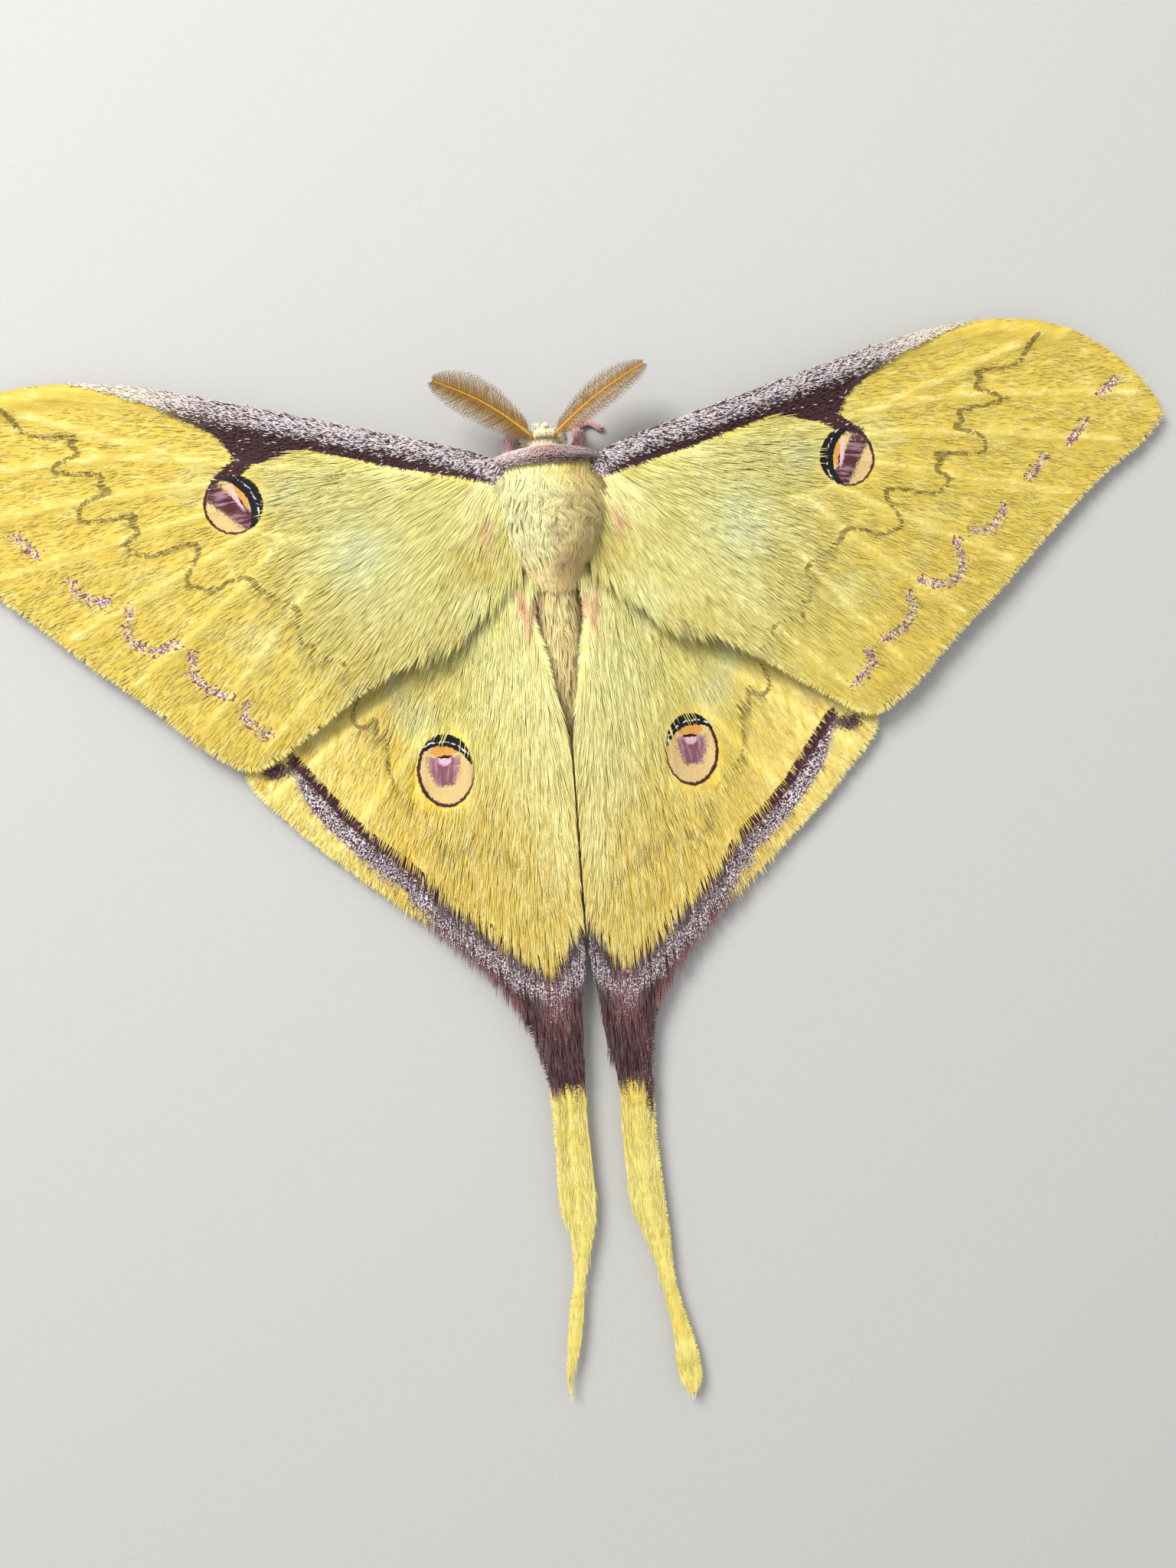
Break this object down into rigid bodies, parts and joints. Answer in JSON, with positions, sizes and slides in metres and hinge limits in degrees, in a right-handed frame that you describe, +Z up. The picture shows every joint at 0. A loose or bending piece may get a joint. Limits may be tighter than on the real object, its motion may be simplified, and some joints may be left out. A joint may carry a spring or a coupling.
{
  "type": "yellow moon moth",
  "caption": "Yellow moon moth resting flat with its wings spread, feathery feelers, ringed eyespots and long narrow tails, lying on its belly.",
  "frame": {"origin": "on the floor under the middle of the thorax, on the flat of its underside", "axes": "+X to the animal's left across the spread wings, -Y the way the head looks, +Y towards the tails, +Z up"},
  "size_m": [0.113, 0.0924, 0.0086],
  "materials": {
    "wing_scales": "matt yellow scales with mauve and brown markings",
    "body_hair": "soft shaggy yellow hair",
    "collar_hair": "mauve hair tipped with pinkish white",
    "face_hair": "short cream hair",
    "feeler_horn": "golden brown, combed",
    "leg_scales": "pink downy scales",
    "eye_lens": "dark, finely facetted"
  },
  "bodies": {
    "root": {"thorax": "body_hair", "abdomen": "body_hair", "collar": "collar_hair", "head": "face_hair", "eye_left": "eye_lens", "eye_right": "eye_lens", "antenna_left": "feeler_horn", "antenna_right": "feeler_horn", "forewing_left": "wing_scales", "forewing_right": "wing_scales", "hindwing_left": "wing_scales", "hindwing_right": "wing_scales", "tail_left": "wing_scales", "tail_right": "wing_scales", "foreleg_left": "leg_scales", "foreleg_right": "leg_scales", "midleg_left": "leg_scales", "midleg_right": "leg_scales", "hindleg_left": "leg_scales", "hindleg_right": "leg_scales"}
  },
  "joints": []
}
